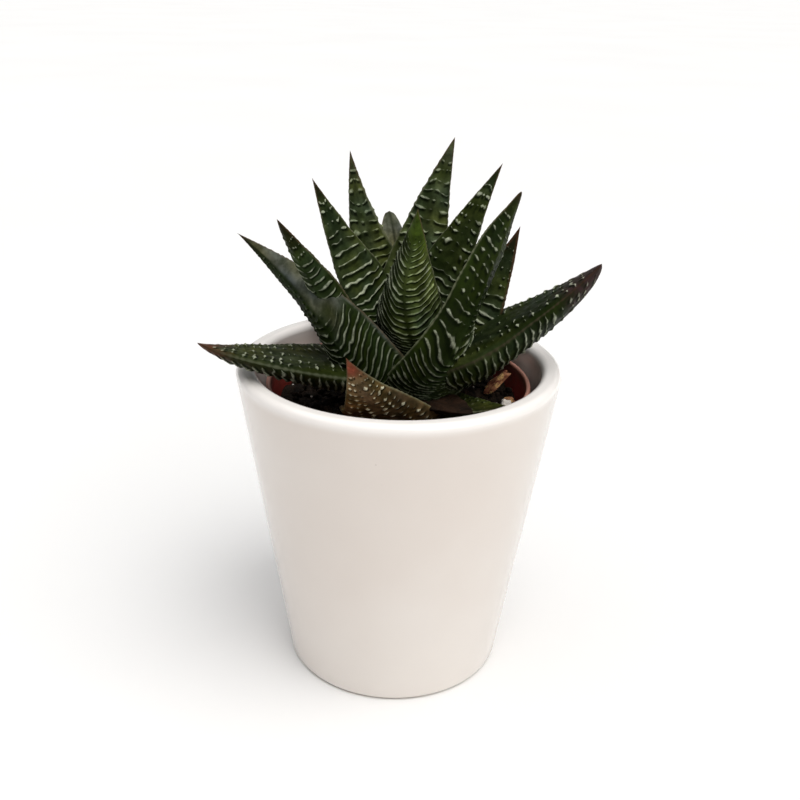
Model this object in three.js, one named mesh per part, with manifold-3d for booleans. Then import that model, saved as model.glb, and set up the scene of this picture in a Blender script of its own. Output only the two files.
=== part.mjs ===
// Potted haworthia: a small zebra succulent with thick keeled leaves that carry pale cross ridges.
// It grows in a terracotta coloured plastic nursery pot that stands inside a white glazed ceramic pot.
// Millimetres, +Z up, the plant's front towards -Y.
// The origin is the centre of the ceramic pot's flat underside.

import * as THREE from 'three';
import { mergeVertices } from 'three/addons/utils/BufferGeometryUtils.js';
import Module from 'manifold-3d';

const wasm = await Module();
wasm.setup();

// Ceramic pot
const POT_HEIGHT = 82;
const POT_RIM_RADIUS = 40;
const POT_BASE_RADIUS = 28.1;
const POT_WALL = 4.8;
const POT_FLOOR = 6;
const LIP_ROUND = 1.8;
const FOOT_ROUND = 1.6;
const POT_SEGMENTS = 44;

// Nursery pot, standing on the ceramic floor
const SEAT_GAP = 0.3;
const NURSERY_BASE_Z = POT_FLOOR + SEAT_GAP;
const NURSERY_RIM_Z = 77;
const NURSERY_BASE_RADIUS = 22.5;
const NURSERY_NECK_RADIUS = 31.6;
const NURSERY_BAND_RADIUS = 32.8;
const NURSERY_BAND_HEIGHT = 4;
const NURSERY_WALL = 1.1;
const NURSERY_FLOOR = 1.6;
const NURSERY_SEGMENTS = 36;
const DRAIN_HOLES = 5;
const DRAIN_RADIUS = 3.2;
const DRAIN_CIRCLE_RADIUS = 13;

// Soil
const SOIL_Z = 72;
const SOIL_ROUGHNESS = 0.55;
const SOIL_MOUND = 1.2;
const SOIL_RINGS = 6;
const SOIL_SEGMENTS = 30;
const CUT_GAP = 0.35;

// Stem and roots
const STEM_X = 2;
const STEM_Y = 1;
const STEM_FOOT_Z = 66;
const STEM_TOP_Z = 90;
const STEM_RADIUS = 5.4;
const ROOT_RADIUS = 1.9;
const ROOT_COUNT = 5;
const ROOT_REACH = 17;
const ROOT_DEPTH = 38;

// Leaves
const LEAF_GAP = 0.35;
const RIDGE_HEIGHT = 0.42;
const TOOTH = 0.3;
const BASE_WIDTH = 0.84;
const WIDEST_AT = 0.22;
const TWIST_END = 0.55;
const FRONT_SHARE = 0.22;
const RIDGES_START = 0.03;
const RIDGES_END = 0.94;
const PLAIN_STEPS = 13;
const TRIM_DETAIL = 0.05;

// One row a leaf, innermost first. base: azimuth, height over the soil and distance from the stem's axis.
// rise: the elevation at which it leaves the stem. tip: its point. face: where its keel looks at the tip.
const LEAVES = [
  { name: 'heart_leaf_middle', azimuth: 85, height: 17.5, radius: 0.6, rise: 84, tip: [2.6, 2.2, 102],
    width: 6.5, thick: 5, roll: 0, bow: 0.5, face: 85, full: 0.9, ridges: 4 },
  { name: 'heart_leaf_left', azimuth: 200, height: 17, radius: 3, rise: 72, tip: [-0.5, 1.5, 105],
    width: 9, thick: 4.5, roll: 0, bow: 0.5, face: 170, full: 0.9, ridges: 5 },
  { name: 'heart_leaf_right', azimuth: 35, height: 17, radius: 3, rise: 74, tip: [5.5, 4, 103],
    width: 9, thick: 4.5, roll: 0, bow: 0.5, face: 20, full: 0.9, ridges: 5 },
  { name: 'leaf_front_centre', azimuth: -79, height: 13, radius: 2.5, rise: 82, tip: [3.4, -24, 125],
    width: 16.1, thick: 12, roll: -1, bow: 0.58, face: -114, full: 1.25, ridges: 13 },
  { name: 'leaf_back_right_tall', azimuth: 82, height: 18.4, radius: 3.9, rise: 63, tip: [12, 7, 135.1],
    width: 17.6, thick: 6, roll: 3, bow: 0.44, face: 88, full: 0.91, ridges: 11 },
  { name: 'leaf_back_left_tall', azimuth: 118, height: 17.5, radius: 3.8, rise: 34, tip: [-12.8, 12.4, 130.7],
    width: 15.7, thick: 6, roll: -18, bow: 0.59, face: 90, full: 0.99, ridges: 11 },
  { name: 'leaf_right_tall', azimuth: 34, height: 17.6, radius: 3.1, rise: 65, tip: [23.4, 5.6, 129.6],
    width: 16.6, thick: 5.8, roll: 1, bow: 0.38, face: 65, full: 0.99, ridges: 11 },
  { name: 'leaf_left_tall', azimuth: 165, height: 17, radius: 3.1, rise: 52, tip: [-20.7, -2, 126.6],
    width: 15.5, thick: 6.7, roll: 4, bow: 0.43, face: 109, full: 1.02, ridges: 11 },
  { name: 'leaf_back_short', azimuth: 96, height: 12.5, radius: 5, rise: 44, tip: [-3.4, 28, 112.8],
    width: 13, thick: 5.5, roll: 5, bow: 0.48, face: 115, full: 0.42, ridges: 8 },
  { name: 'leaf_left_upper', azimuth: 195, height: 11.5, radius: 7, rise: 53, tip: [-26.7, -20, 121.1],
    width: 12, thick: 5.5, roll: 13, bow: 0.6, face: 232, full: 0.88, ridges: 11 },
  { name: 'leaf_right_upper', azimuth: 16, height: 8.9, radius: 5.5, rise: 31, tip: [28.8, 8.4, 114.1],
    width: 20.5, thick: 6, roll: 5, bow: 0.38, face: 75, full: 1, ridges: 9 },
  { name: 'leaf_front_right', azimuth: -66, height: 2.9, radius: 7.2, rise: 58, tip: [28.1, 4, 123.3],
    width: 25, thick: 6.5, roll: 44, bow: 0.5, face: -71, full: 0.58, ridges: 12 },
  { name: 'leaf_front_left', azimuth: -126, height: 3, radius: 7, rise: 58, tip: [-40.4, 10, 110.5],
    width: 23, thick: 9, roll: 7, bow: 0.5, face: -125, full: 1.12, ridges: 12 },
  { name: 'leaf_back_right', azimuth: 55, height: 7, radius: 5.5, rise: 30, tip: [22, 34, 95],
    width: 18, thick: 7, roll: 0, bow: 0.5, face: 55, full: 0.85, ridges: 8 },
  { name: 'leaf_right_outer', azimuth: -7, height: 9, radius: 5, rise: 29, tip: [47.4, -2.1, 108],
    width: 26.2, thick: 11.8, roll: 33, bow: 0.66, face: -56, full: 0.62, ridges: 11 },
  { name: 'leaf_left_outer', azimuth: 205, height: 9.6, radius: 7, rise: 10, tip: [-47.2, -12, 89.6],
    width: 24, thick: 8, roll: -7, bow: 0.75, face: 240, full: 0.73, ridges: 10 },
  { name: 'leaf_back_left', azimuth: 138, height: 5, radius: 5.5, rise: 24, tip: [-23, 33, 89],
    width: 18, thick: 7, roll: 0, bow: 0.5, face: 138, full: 0.85, ridges: 8 },
  { name: 'leaf_back_outer', azimuth: 98, height: 3.5, radius: 6, rise: 18, tip: [-3, 45, 90],
    width: 18, thick: 7, roll: 0, bow: 0.5, face: 98, full: 0.8, ridges: 8 },
  { name: 'leaf_back_right_low', azimuth: 36, height: 2.5, radius: 6, rise: 12, tip: [35, 25, 88],
    width: 17, thick: 6.5, roll: 0, bow: 0.5, face: 36, full: 0.8, ridges: 8 },
  { name: 'leaf_front_low', azimuth: -105, height: -0.5, radius: 7.2, rise: 16, tip: [-11.3, -31.3, 94],
    width: 25, thick: 4.7, roll: 7, bow: 0.55, face: -88, full: 1.12, ridges: 9 },
  { name: 'leaf_front_right_low', azimuth: -42, height: 1, radius: 7, rise: 5, tip: [26, -19, 78],
    width: 16, thick: 6, roll: 0, bow: 0.5, face: -38, full: 0.8, ridges: 7 },
  { name: 'dried_leaf', azimuth: -64, height: 3.6, radius: 8, rise: 8, tip: [17, -23, 78],
    width: 13, thick: 2.8, roll: 0, bow: 0.5, face: -60, full: 0.6, ridges: 0 },
];

// Loose bits that lie in the soil: white perlite, bark chips
const BITS = [
  { name: 'perlite_right', at: [26.5, -7.5, 72.4], size: [1.7, 1.5, 1.4], turn: 23, tilt: 0, colour: 0xe9e6df },
  { name: 'perlite_left', at: [-24, -13, 72], size: [1.6, 1.4, 1.2], turn: 63, tilt: 0, colour: 0xd9d2bd },
  { name: 'bark_right', at: [25.2, 5, 74.6], size: [4.2, 1.6, 1.2], turn: 12, tilt: -42, colour: 0xa8683a },
  { name: 'bark_right_small', at: [27.6, -1, 71.8], size: [2.3, 1.3, 1.1], turn: 130, tilt: 8, colour: 0x9c5a30 },
];

const COLOURS = {
  ceramic_pot: { color: 0xf2efec, roughness: 0.12, metalness: 0 },
  nursery_pot: { color: 0xa8472f, roughness: 0.5, metalness: 0 },
  soil: { color: 0x221b16, roughness: 0.95, metalness: 0 },
  stem_and_roots: { color: 0xb59a63, roughness: 0.8, metalness: 0 },
  leaf: { color: 0x41602f, roughness: 0.5, metalness: 0 },
  heart: { color: 0x6c8a3a, roughness: 0.5, metalness: 0 },
  dried_leaf: { color: 0x4a2a1c, roughness: 0.85, metalness: 0 },
};

const rad = THREE.MathUtils.degToRad;
const clamp = THREE.MathUtils.clamp;

// Solids

function toSolid(geometry) {
  geometry.deleteAttribute('normal');
  geometry.deleteAttribute('uv');
  const merged = mergeVertices(geometry, 1e-4);
  const index = [];
  const old = merged.index.array;
  for (let i = 0; i < old.length; i += 3) {
    const [a, b, c] = [old[i], old[i + 1], old[i + 2]];
    if (a !== b && b !== c && c !== a) index.push(a, b, c);
  }
  return solidFrom(Array.from(merged.attributes.position.array), index);
}

function solidFrom(positions, index) {
  let volume = 0;
  const p = (i) => new THREE.Vector3(positions[3 * i], positions[3 * i + 1], positions[3 * i + 2]);
  for (let i = 0; i < index.length; i += 3) {
    volume += p(index[i]).dot(p(index[i + 1]).cross(p(index[i + 2])));
  }
  if (volume < 0) {
    for (let i = 0; i < index.length; i += 3) [index[i], index[i + 1]] = [index[i + 1], index[i]];
  }
  return new wasm.Manifold(new wasm.Mesh({
    numProp: 3,
    vertProperties: new Float32Array(positions),
    triVerts: new Uint32Array(index),
  }));
}

// A closed skin over rings of points, with one point at each end.
function skin(rings, start, end) {
  const positions = [start.x, start.y, start.z];
  for (const ring of rings) for (const q of ring) positions.push(q.x, q.y, q.z);
  positions.push(end.x, end.y, end.z);
  const n = rings[0].length;
  const last = 1 + rings.length * n;
  const index = [];
  for (let j = 0; j < n; j += 1) {
    const k = (j + 1) % n;
    index.push(0, 1 + k, 1 + j);
    for (let i = 0; i < rings.length - 1; i += 1) {
      const a = 1 + i * n;
      const b = a + n;
      index.push(a + j, a + k, b + k, a + j, b + k, b + j);
    }
    index.push(last, last - n + j, last - n + k);
  }
  return solidFrom(positions, index);
}

function largestPiece(solid) {
  const pieces = solid.decompose();
  return pieces.reduce((best, piece) => (piece.volume() > best.volume() ? piece : best));
}

function toMesh(name, solid, material) {
  const { vertProperties, triVerts, numProp } = solid.getMesh();
  const position = new Float32Array((vertProperties.length / numProp) * 3);
  for (let i = 0; i < position.length / 3; i += 1) {
    for (let k = 0; k < 3; k += 1) position[3 * i + k] = vertProperties[numProp * i + k];
  }
  const geometry = new THREE.BufferGeometry();
  geometry.setAttribute('position', new THREE.BufferAttribute(position, 3));
  geometry.setIndex(new THREE.BufferAttribute(new Uint32Array(triVerts), 1));
  geometry.computeVertexNormals();
  const mesh = new THREE.Mesh(geometry, new THREE.MeshStandardMaterial(material));
  mesh.name = name;
  return mesh;
}

// Turned pieces

function arc(cx, cz, r, from, to, steps) {
  const points = [];
  for (let i = 0; i <= steps; i += 1) {
    const a = rad(from + ((to - from) * i) / steps);
    points.push(new THREE.Vector2(cx + r * Math.cos(a), cz + r * Math.sin(a)));
  }
  return points;
}

function turned(profile, segments) {
  return toSolid(new THREE.LatheGeometry(profile, segments).rotateX(Math.PI / 2));
}

function ceramicPot() {
  const slope = (POT_RIM_RADIUS - POT_BASE_RADIUS) / POT_HEIGHT;
  const innerFloorRadius = POT_BASE_RADIUS + slope * POT_FLOOR - POT_WALL;
  const lipZ = POT_HEIGHT - LIP_ROUND;
  const profile = [
    new THREE.Vector2(0, 0),
    ...arc(POT_BASE_RADIUS - FOOT_ROUND, FOOT_ROUND, FOOT_ROUND, -90, -8, 2),
    ...arc(POT_RIM_RADIUS - LIP_ROUND, lipZ, LIP_ROUND, -8, 90, 3),
    ...arc(POT_RIM_RADIUS - POT_WALL + LIP_ROUND, lipZ, LIP_ROUND, 90, 188, 3),
    ...arc(innerFloorRadius - 3, POT_FLOOR + 3, 3, -8, -90, 2),
    new THREE.Vector2(0, POT_FLOOR),
  ];
  return turned(profile, POT_SEGMENTS);
}

function nurseryWallRadius(z) {
  const part = (z - NURSERY_BASE_Z) / (NURSERY_RIM_Z - NURSERY_BAND_HEIGHT - NURSERY_BASE_Z);
  return NURSERY_BASE_RADIUS + (NURSERY_NECK_RADIUS - NURSERY_BASE_RADIUS) * Math.min(part, 1);
}

function nurseryPot() {
  const bandZ = NURSERY_RIM_Z - NURSERY_BAND_HEIGHT;
  const floorZ = NURSERY_BASE_Z + NURSERY_FLOOR;
  const profile = [
    new THREE.Vector2(0, NURSERY_BASE_Z),
    new THREE.Vector2(NURSERY_BASE_RADIUS - 1, NURSERY_BASE_Z),
    new THREE.Vector2(NURSERY_BASE_RADIUS, NURSERY_BASE_Z + 1),
    new THREE.Vector2(NURSERY_NECK_RADIUS, bandZ),
    new THREE.Vector2(NURSERY_BAND_RADIUS, bandZ + 0.6),
    new THREE.Vector2(NURSERY_BAND_RADIUS, NURSERY_RIM_Z - 0.5),
    new THREE.Vector2(NURSERY_BAND_RADIUS - 0.5, NURSERY_RIM_Z),
    new THREE.Vector2(NURSERY_BAND_RADIUS - NURSERY_WALL - 0.2, NURSERY_RIM_Z - 0.2),
    new THREE.Vector2(NURSERY_BAND_RADIUS - NURSERY_WALL - 0.4, bandZ),
    new THREE.Vector2(NURSERY_NECK_RADIUS - NURSERY_WALL, bandZ - 1.5),
    new THREE.Vector2(nurseryWallRadius(floorZ) - NURSERY_WALL, floorZ),
    new THREE.Vector2(0, floorZ),
  ];
  let pot = turned(profile, NURSERY_SEGMENTS);
  for (let i = 0; i < DRAIN_HOLES; i += 1) {
    const a = (2 * Math.PI * i) / DRAIN_HOLES;
    const hole = new THREE.CylinderGeometry(DRAIN_RADIUS, DRAIN_RADIUS, NURSERY_FLOOR * 3, 12);
    hole.rotateX(Math.PI / 2);
    hole.translate(
      DRAIN_CIRCLE_RADIUS * Math.cos(a), DRAIN_CIRCLE_RADIUS * Math.sin(a), NURSERY_BASE_Z + NURSERY_FLOOR / 2);
    pot = pot.subtract(toSolid(hole));
  }
  return pot;
}

// Soil

function soilHeight(x, y) {
  const fromStem = Math.hypot(x - STEM_X, y - STEM_Y);
  const bumps = Math.sin(0.9 * x + 1.3) * Math.cos(1.1 * y) + 0.8 * Math.sin(0.53 * x - 0.74 * y + 2);
  return SOIL_Z - 0.8 + SOIL_MOUND * Math.exp(-((fromStem / 14) ** 2)) + SOIL_ROUGHNESS * bumps;
}

function soilBody() {
  const circle = (r, heightAt) => Array.from({ length: SOIL_SEGMENTS }, (_, j) => {
    const a = (2 * Math.PI * j) / SOIL_SEGMENTS;
    const x = r * Math.cos(a);
    const y = r * Math.sin(a);
    return new THREE.Vector3(x, y, heightAt(x, y));
  });
  const floorZ = NURSERY_BASE_Z + NURSERY_FLOOR + SEAT_GAP;
  const edge = (z) => nurseryWallRadius(z) - NURSERY_WALL - SEAT_GAP;
  const bandZ = NURSERY_RIM_Z - NURSERY_BAND_HEIGHT - 1.6;
  const rings = [circle(edge(floorZ) - 1, () => floorZ), circle(edge(floorZ), () => floorZ + 1)];
  const topRadius = edge(bandZ) - 0.2;
  for (let i = 0; i < SOIL_RINGS; i += 1) {
    rings.push(circle(topRadius * (1 - i / SOIL_RINGS), (x, y) => Math.min(soilHeight(x, y), 74)));
  }
  const top = new THREE.Vector3(0, 0, soilHeight(0, 0));
  return skin(rings, new THREE.Vector3(0, 0, floorZ), top);
}

// Stem and roots

function roundTube(path, radii, sides) {
  const across = new THREE.Vector3();
  const rings = radii.map((r, i) => {
    const t = i / (radii.length - 1);
    const centre = path.getPoint(t);
    const along = path.getTangent(t);
    across.set(0.3, 0.2, 1).cross(along).normalize();
    const other = along.clone().cross(across);
    return Array.from({ length: sides }, (_, j) => {
      const a = (2 * Math.PI * j) / sides;
      return centre.clone().addScaledVector(across, r * Math.cos(a)).addScaledVector(other, r * Math.sin(a));
    });
  });
  const start = path.getPoint(0).addScaledVector(path.getTangent(0), -radii[0] / 2);
  const end = path.getPoint(1).addScaledVector(path.getTangent(1), radii[radii.length - 1]);
  return skin(rings, start, end);
}

function stemAndRoots(grow) {
  const stemProfile = [
    new THREE.Vector2(0, STEM_FOOT_Z - 1.5 - grow),
    new THREE.Vector2(STEM_RADIUS * 0.6 + grow, STEM_FOOT_Z - 1 - grow),
    new THREE.Vector2(STEM_RADIUS + grow, STEM_FOOT_Z + 1.5),
    new THREE.Vector2(STEM_RADIUS + grow, SOIL_Z + 6),
    new THREE.Vector2(STEM_RADIUS * 0.72 + grow, STEM_TOP_Z - 4),
    new THREE.Vector2(STEM_RADIUS * 0.4 + grow, STEM_TOP_Z - 0.8 + grow),
    new THREE.Vector2(0, STEM_TOP_Z + grow),
  ];
  let body = turned(stemProfile, 16).translate([STEM_X, STEM_Y, 0]);
  for (let i = 0; i < ROOT_COUNT; i += 1) {
    const a = (2 * Math.PI * i) / ROOT_COUNT + 0.5;
    const reach = ROOT_REACH * (0.8 + 0.1 * (i % 3));
    const depth = ROOT_DEPTH * (0.75 + 0.12 * ((i * 2) % 3));
    const at = (r, z) => new THREE.Vector3(STEM_X + r * Math.cos(a), STEM_Y + r * Math.sin(a), z);
    const path = new THREE.CubicBezierCurve3(
      at(1.5, STEM_FOOT_Z + 2), at(reach * 0.75, STEM_FOOT_Z - 3),
      at(reach, STEM_FOOT_Z - depth * 0.45), at(reach * 0.8, STEM_FOOT_Z - depth));
    const radii = [1, 1.05, 1, 0.9, 0.7, 0.35].map((k) => ROOT_RADIUS * k + grow);
    body = body.add(roundTube(path, radii, 7));
  }
  return body;
}

// Leaves

function breadth(s, full) {
  if (s < WIDEST_AT) return BASE_WIDTH + (1 - BASE_WIDTH) * Math.sin(((s / WIDEST_AT) * Math.PI) / 2);
  return clamp((1 - s) / (1 - WIDEST_AT), 0, 1) ** full;
}

// The leaf's spine and, at each place along it, the across direction and the one out of its upper face.
function leafFrame(leaf) {
  const a = rad(leaf.azimuth);
  const e = rad(leaf.rise);
  const root = new THREE.Vector3(
    STEM_X + leaf.radius * Math.cos(a), STEM_Y + leaf.radius * Math.sin(a), SOIL_Z + leaf.height);
  const tip = new THREE.Vector3(...leaf.tip);
  const out = new THREE.Vector3(Math.cos(a) * Math.cos(e), Math.sin(a) * Math.cos(e), Math.sin(e));
  const knee = root.clone().addScaledVector(out, root.distanceTo(tip) * leaf.bow);
  const spine = new THREE.QuadraticBezierCurve3(root, knee, tip);
  const turn = ((rad(leaf.face) - a + 5 * Math.PI) % (2 * Math.PI)) - Math.PI;
  return (s) => {
    const part = THREE.MathUtils.smoothstep(s, 0, TWIST_END);
    const facing = a + turn * part;
    const along = spine.getTangent(s);
    const level = new THREE.Vector3(-Math.sin(facing), Math.cos(facing), 0);
    const across = level.addScaledVector(along, -level.dot(along)).normalize();
    const upper = along.clone().cross(across);
    const roll = rad(leaf.roll) * part;
    return {
      centre: spine.getPoint(s),
      along,
      across: across.clone().multiplyScalar(Math.cos(roll)).addScaledVector(upper, Math.sin(roll)),
      upper: upper.clone().multiplyScalar(Math.cos(roll)).addScaledVector(across, -Math.sin(roll)),
    };
  };
}

// Places round a section, from one margin over the upper face to the other and back under the keel.
const UPPER_PLACES = [1, 0.5, 0, -0.5];
const LOWER_PLACES = [-1, -0.78, -0.42, 0, 0.42, 0.78];

function leafRing(leaf, frame, s, lift, grow) {
  const { centre, along, across, upper } = frame(s);
  const size = breadth(s, leaf.full);
  const half = (leaf.width / 2) * size + grow;
  const front = leaf.thick * FRONT_SHARE * size + grow;
  const back = leaf.thick * (1 - FRONT_SHARE) * size + grow;
  const channel = 0.15 * half * (1 - s);
  const ridge = lift * RIDGE_HEIGHT * Math.min(1, 3 * (1 - s));
  const keel = 0.1 + 0.5 * s;
  const place = (u, y, shift) => centre.clone()
    .addScaledVector(across, u * (half + (Math.abs(u) === 1 ? lift * TOOTH : 0)))
    .addScaledVector(upper, y)
    .addScaledVector(along, shift);
  const points = UPPER_PLACES.map((u) => {
    const bulge = Math.sqrt(1 - u * u);
    return place(u, front * bulge - channel * (1 - u * u) + ridge * bulge, 0);
  });
  for (const u of LOWER_PLACES) {
    const round = (1 - u * u) ** 0.43;
    const wedge = (1 - Math.abs(u)) ** 0.8;
    const depth = (back * (1 - keel) + ridge) * round + back * keel * wedge;
    points.push(place(u, -depth, -0.1 * half * (1 - u * u) * Math.min(1, 4 * s)));
  }
  return points;
}

function leafSolid(leaf, ridges, grow) {
  const frame = leafFrame(leaf);
  const rings = [leafRing(leaf, frame, 0, 0, grow)];
  const count = ridges || PLAIN_STEPS;
  const lift = ridges ? 1 : 0;
  const step = (RIDGES_END - RIDGES_START) / count;
  for (let i = 0; i < count; i += 1) {
    const s = RIDGES_START + i * step;
    if (ridges) rings.push(leafRing(leaf, frame, s + step / 2, lift, grow));
    rings.push(leafRing(leaf, frame, s + step, 0, grow));
  }
  const root = frame(0);
  const point = frame(1);
  const start = root.centre.clone().addScaledVector(root.along, -0.4 - grow);
  const end = point.centre.clone().addScaledVector(point.along, 2 * grow);
  return skin(rings, start, end);
}

// The bits in the soil

function bitSolid(bit, grow) {
  const shape = new THREE.IcosahedronGeometry(1, 1);
  const position = shape.attributes.position;
  const q = new THREE.Vector3();
  for (let i = 0; i < position.count; i += 1) {
    q.fromBufferAttribute(position, i);
    const dent = 1 + 0.16 * Math.sin(4 * q.x + rad(bit.turn)) * Math.cos(3 * q.y + 2 * q.z);
    q.multiplyScalar(dent);
    position.setXYZ(i, q.x * (bit.size[0] + grow), q.y * (bit.size[1] + grow), q.z * (bit.size[2] + grow));
  }
  shape.rotateY(rad(bit.tilt));
  shape.rotateZ(rad(bit.turn));
  shape.translate(...bit.at);
  return toSolid(shape);
}

// Assembly: the leaves clasp the stem and each other, so each outer one is trimmed by those inside it.

const group = new THREE.Group();
group.name = 'potted_haworthia';

const stem = stemAndRoots(0);
const stemRoom = stemAndRoots(CUT_GAP);
let soil = soilBody().subtract(stemRoom);

group.add(toMesh('ceramic_pot', ceramicPot(), COLOURS.ceramic_pot));
group.add(toMesh('nursery_pot', nurseryPot(), COLOURS.nursery_pot));
group.add(toMesh('stem_and_roots', stem, COLOURS.stem_and_roots));

const rooms = [];
for (const leaf of LEAVES) {
  let solid = leafSolid(leaf, leaf.ridges, 0).subtract(stemRoom);
  for (const room of rooms) solid = solid.subtract(room);
  const room = leafSolid(leaf, 0, LEAF_GAP + RIDGE_HEIGHT + 0.4);
  rooms.push(room);
  soil = soil.subtract(room);
  let colour = COLOURS.leaf;
  if (leaf.name.startsWith('heart')) colour = COLOURS.heart;
  if (leaf.name === 'dried_leaf') colour = COLOURS.dried_leaf;
  group.add(toMesh(leaf.name, largestPiece(solid.simplify(TRIM_DETAIL)), colour));
}

for (const bit of BITS) {
  soil = soil.subtract(bitSolid(bit, CUT_GAP));
  group.add(toMesh(bit.name, bitSolid(bit, 0), { color: bit.colour, roughness: 0.9, metalness: 0 }));
}
group.add(toMesh('soil', largestPiece(soil.simplify(TRIM_DETAIL / 3)), COLOURS.soil));

export default group;
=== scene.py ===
"""Potted haworthia: the dressed pieces, their materials, the studio and the camera.

Shapes are built in millimetres, +Z up, as in the part's source, and turned into metres when a mesh
is made. Materials, lights and the camera are in metres. The plant's front looks towards -Y.
"""
import math

import bmesh
import bpy
import numpy as np
from mathutils import Matrix, Vector


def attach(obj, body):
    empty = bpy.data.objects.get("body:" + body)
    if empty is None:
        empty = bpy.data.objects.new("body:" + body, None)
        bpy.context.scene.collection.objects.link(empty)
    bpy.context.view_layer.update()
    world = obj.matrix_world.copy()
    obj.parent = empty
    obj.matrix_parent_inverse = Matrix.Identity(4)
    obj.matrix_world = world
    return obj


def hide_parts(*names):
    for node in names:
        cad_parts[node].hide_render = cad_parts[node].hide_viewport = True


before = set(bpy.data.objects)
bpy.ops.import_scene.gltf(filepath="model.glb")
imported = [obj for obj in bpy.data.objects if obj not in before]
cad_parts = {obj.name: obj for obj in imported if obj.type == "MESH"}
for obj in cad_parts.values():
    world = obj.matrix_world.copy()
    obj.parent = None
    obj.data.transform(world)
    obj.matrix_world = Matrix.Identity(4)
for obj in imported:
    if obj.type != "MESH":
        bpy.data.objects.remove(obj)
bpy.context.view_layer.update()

MM = 0.001

# Ceramic pot
POT_HEIGHT = 82
POT_RIM_RADIUS = 40
POT_BASE_RADIUS = 28.1
POT_WALL = 4.8
POT_FLOOR = 6
POT_LEAN = 8
POT_SEGMENTS = 256
LIP_ROUND = 1.8
FOOT_ROUND = 1.6
WELL_ROUND = 3

# Nursery pot
NURSERY_BASE_Z = 6.3
NURSERY_RIM_Z = 77
NURSERY_BASE_RADIUS = 22.5
NURSERY_NECK_RADIUS = 31.6
NURSERY_BAND_RADIUS = 32.8
NURSERY_BAND_HEIGHT = 4
NURSERY_WALL = 1.1
NURSERY_FLOOR = 1.6
NURSERY_LIP_ROUND = 0.55
NURSERY_SEGMENTS = 180
LONGEST_SIDE = 6
DRAIN_HOLES = 5
DRAIN_RADIUS = 3.2
DRAIN_CIRCLE_RADIUS = 13

# Soil
SOIL_Z = 72
SOIL_TOP_Z = 74
SOIL_MOUND = 1.2
SOIL_MOUND_RADIUS = 14
SOIL_ROUGHNESS = 0.55
SOIL_GAP = 0.3
SOIL_SEGMENTS = 200
SOIL_RINGS = 54
CRUMBS = 520
GRIT_EVERY = 9
CRUMB_DENT = 0.28

# Leaves
STEM_X = 2
STEM_Y = 1
BASE_WIDTH = 0.84
WIDEST_AT = 0.22
TWIST_END = 0.55
FRONT_SHARE = 0.22
CHANNEL_DEPTH = 0.15
ROOT_OVERHANG = 0.4
RIDGE_HEIGHT = 0.5
CREST_WIDTH = 0.2
SWELL_HEIGHT = 0.12
TOOTH_STEP = 1.55
PITCH_AT_ROOT = 0.82
PITCH_GAIN = 0.4
UPPER_FACE_SAG = 0.1
UPPER_FACE_SHIFT = 31  # gives the upper face a pattern of its own
FIRST_COUNT = 20  # keeps the count of ridges above 0
BASE_GIVES_WAY = (0.28, 0.5)
DOT_COLUMNS = (-0.76, -0.48, -0.2, 0.0, 0.2, 0.48, 0.76)
FINE_AROUND = (42, 56)
LOW_MESH = (120, 32, 40)

# One row a leaf: its shape, its ridges and its colours, where they aren't those of PLAIN_LEAF. The
# back is the keeled face that looks outward. Left and right are those of the back, seen from
# outside. Places along a leaf run from 0 at the root to 1 at the tip.
#
# Shape, as in the part's source. root: its azimuth, height and radius about the stem. rise: how
# steeply the leaf starts. bow: how far out its bend lies. face: where the back turns to. roll: the
# turn about its length. full: under 1 for a full outline. Only here, sharp: how much the last fifth
# is drawn in. last, rings: where the rings end and how many. low: 1 for a coarser mesh.
#
# Ridges. step: millimetres from one to the next, 0 for none. bars: how far up the back and the
# upper face they run unbroken before they part into dots. fade: where the dots end. sag: how far
# they hang towards the root at the keel, in half widths. line, bold: the strength of ridges and
# dots. broken, wobble: how much the ridges thin out and wander. dot: half a dot's length in
# millimetres. straighten: the share of the sag lost further up. coarse_left: how many times as far
# apart they get on the back's left half. plain_right: how much they fade on its right half.
# half_smooth: 1 if only its left half stays ridged to the point. teeth: how high the margin's teeth
# stand. margin: how wide it is.
#
# Colours. young: how yellow-green. lime_side: -1 if the left half is the yellower one. pale: how
# white the ridges of the back and the upper face are. base_pale: the share of that near the root.
# point, point_from: the point's colour and where it begins. streak: the strength of the streaks.
# bloom: the wax at the root and further up. bloom_side: how much more on the right half. grey_face:
# how grey the upper face is. grey_from: where the leaf turns grey, or 2 for nowhere. midline: how
# dark the line down the middle is. dark: how much darker the whole is. back_tint: a factor for the
# back's colour. brown: how brown. shade_left: how much darker the left half is. rust, margin_light:
# how brown and how light the margins are.
PLAIN_LEAF = dict(
    roll=0, bow=0.5, sharp=0, last=0.985, rings=180, low=0,
    step=2.4, bars=(0.7, 0.3), fade=0.85, sag=0.25, line=0.78, broken=1, dot=0.42, bold=0.72,
    wobble=1, straighten=0, coarse_left=1, plain_right=0, half_smooth=0, teeth=0.22, margin=0.42,
    young=0, pale=(0.8, 0.5), point="umber", point_from=0.9, base_pale=0.8, lime_side=1,
    streak=0.12, bloom=(0, 0), bloom_side=0, grey_face=0, grey_from=2, midline=0, dark=0,
    back_tint=(1, 1, 1), brown=0, shade_left=0, rust=0.25, margin_light=1)
HEART = dict(low=1, step=2, bars=(0.5, 0.2), young=0.8, pale=(0.7, 0.4), point="olive",
             point_from=0.85)
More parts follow.
